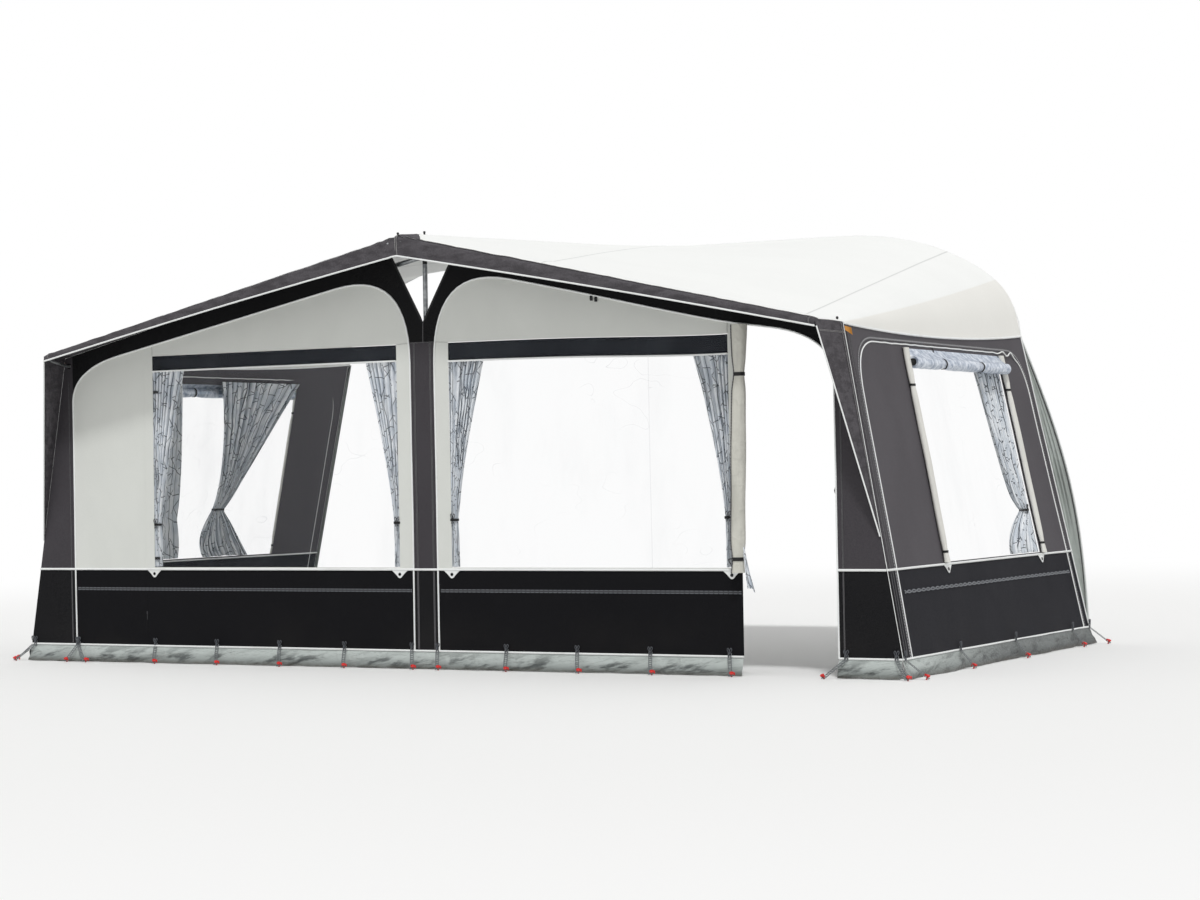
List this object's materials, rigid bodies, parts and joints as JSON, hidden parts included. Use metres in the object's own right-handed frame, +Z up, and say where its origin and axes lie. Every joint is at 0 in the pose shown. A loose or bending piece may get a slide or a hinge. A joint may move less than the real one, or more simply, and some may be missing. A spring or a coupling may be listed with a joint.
{
  "type": "caravan awning",
  "caption": "Full-depth awning for a touring vehicle: pale roof and panels in a dark frame, clear windows with tied curtains, a rolled-up door, telescopic legs inside",
  "frame": {"origin": "centre of the bounding box at ground level", "axes": "+X to the right along the front as seen from outside, +Y from the front wall to the vehicle, +Z up"},
  "size_m": [6.2886, 3.266, 2.6435],
  "materials": {
    "roof_cloth": "coated polyester, pale grey-white, satin",
    "panel_cloth": "coated polyester, light grey, matte",
    "dark_cloth": "coated polyester, warm dark grey, matte",
    "clear_foil": "clear soft window foil, glossy",
    "curtain_cloth": "thin printed cotton, matte",
    "silver_foil": "rolled silvery blind cloth, semi-gloss",
    "draught_cloth": "thin coated cloth, wrinkled",
    "flap_cloth": "grey coated cloth, satin",
    "white_trim": "white piping, satin",
    "pole_steel": "zinc plated steel tube",
    "dark_plastic": "black moulded plastic",
    "zip_metal": "nickel plated zinc"
  },
  "bodies": {
    "awning": {"canopy_cheek_left": "dark_cloth", "canopy_cheek_right": "dark_cloth", "centre_bracket": "dark_plastic", "corner_bracket_left": "dark_plastic", "corner_bracket_right": "dark_plastic", "curtain_front_left_inner": "curtain_cloth", "curtain_front_left_outer": "curtain_cloth", "curtain_front_right_inner": "curtain_cloth", "curtain_front_right_outer": "curtain_cloth", "curtain_side_left": "curtain_cloth", "curtain_side_right": "curtain_cloth", "door_panel_left": "panel_cloth", "door_panel_rolled": "panel_cloth", "draught_strip_left": "draught_cloth", "draught_strip_right": "draught_cloth", "front_blind_left": "dark_cloth", "front_blind_right": "dark_cloth", "front_canopy": "dark_cloth", "front_panel_left": "panel_cloth", "front_panel_right": "panel_cloth", "front_wall_frame": "dark_cloth", "front_window_left": "clear_foil", "front_window_right": "clear_foil", "gable_pole_left": "pole_steel", "gable_pole_right": "pole_steel", "leg_outer_centre": "pole_steel", "leg_outer_left": "pole_steel", "leg_outer_right": "pole_steel", "mud_flap_front": "flap_cloth", "mud_flap_front_corner": "flap_cloth", "mud_flap_side_left": "flap_cloth", "mud_flap_side_right": "flap_cloth", "peg_straps_front": "white_trim", "peg_straps_left": "white_trim", "peg_straps_right": "white_trim", "rail_bead": "white_trim", "roof_panel": "roof_cloth", "roof_pole_centre": "pole_steel", "roof_pole_left": "pole_steel", "roof_pole_right": "pole_steel", "side_blind_left": "silver_foil", "side_blind_right": "silver_foil", "side_wall_frame_left": "dark_cloth", "side_wall_frame_right": "dark_cloth", "side_wall_panel_left": "dark_cloth", "side_wall_panel_right": "dark_cloth", "side_window_left": "clear_foil", "side_window_right": "clear_foil", "veranda_pole_left": "pole_steel", "veranda_pole_right": "pole_steel"},
    "leg_lower_centre": {"leg_inner_centre": "pole_steel", "leg_foot_centre": "dark_plastic"},
    "clamp_knob_centre": {"leg_knob_centre": "dark_plastic"},
    "leg_lower_left": {"leg_inner_left": "pole_steel", "leg_foot_left": "dark_plastic"},
    "clamp_knob_left": {"leg_knob_left": "dark_plastic"},
    "leg_lower_right": {"leg_inner_right": "pole_steel", "leg_foot_right": "dark_plastic"},
    "clamp_knob_right": {"leg_knob_right": "dark_plastic"},
    "door_zip_slider": {"zip_slider_door": "zip_metal"}
  },
  "joints": [
    {"name": "leg_slide_centre", "type": "slide", "parent": "awning", "child": "leg_lower_centre", "axis": [0, 0, 1], "range_m": [-0.2, 0.45]},
    {"name": "clamp_knob_turn_centre", "type": "hinge", "parent": "awning", "child": "clamp_knob_centre", "pos_m": [0.0193, -1.325, 1.004], "axis": [1, 0, 0], "range_deg": [0, 270]},
    {"name": "leg_slide_left", "type": "slide", "parent": "awning", "child": "leg_lower_left", "axis": [0, 0, 1], "range_m": [-0.2, 0.45]},
    {"name": "clamp_knob_turn_left", "type": "hinge", "parent": "awning", "child": "clamp_knob_left", "pos_m": [-2.6207, -1.325, 1.004], "axis": [1, 0, 0], "range_deg": [0, 270]},
    {"name": "leg_slide_right", "type": "slide", "parent": "awning", "child": "leg_lower_right", "axis": [0, 0, 1], "range_m": [-0.2, 0.45]},
    {"name": "clamp_knob_turn_right", "type": "hinge", "parent": "awning", "child": "clamp_knob_right", "pos_m": [2.6207, -1.325, 1.004], "axis": [-1, 0, 0], "range_deg": [0, 270]},
    {"name": "door_zip_slide", "type": "slide", "parent": "awning", "child": "door_zip_slider", "axis": [0, 0, 1], "range_m": [-0.12, 1.5]}
  ]
}
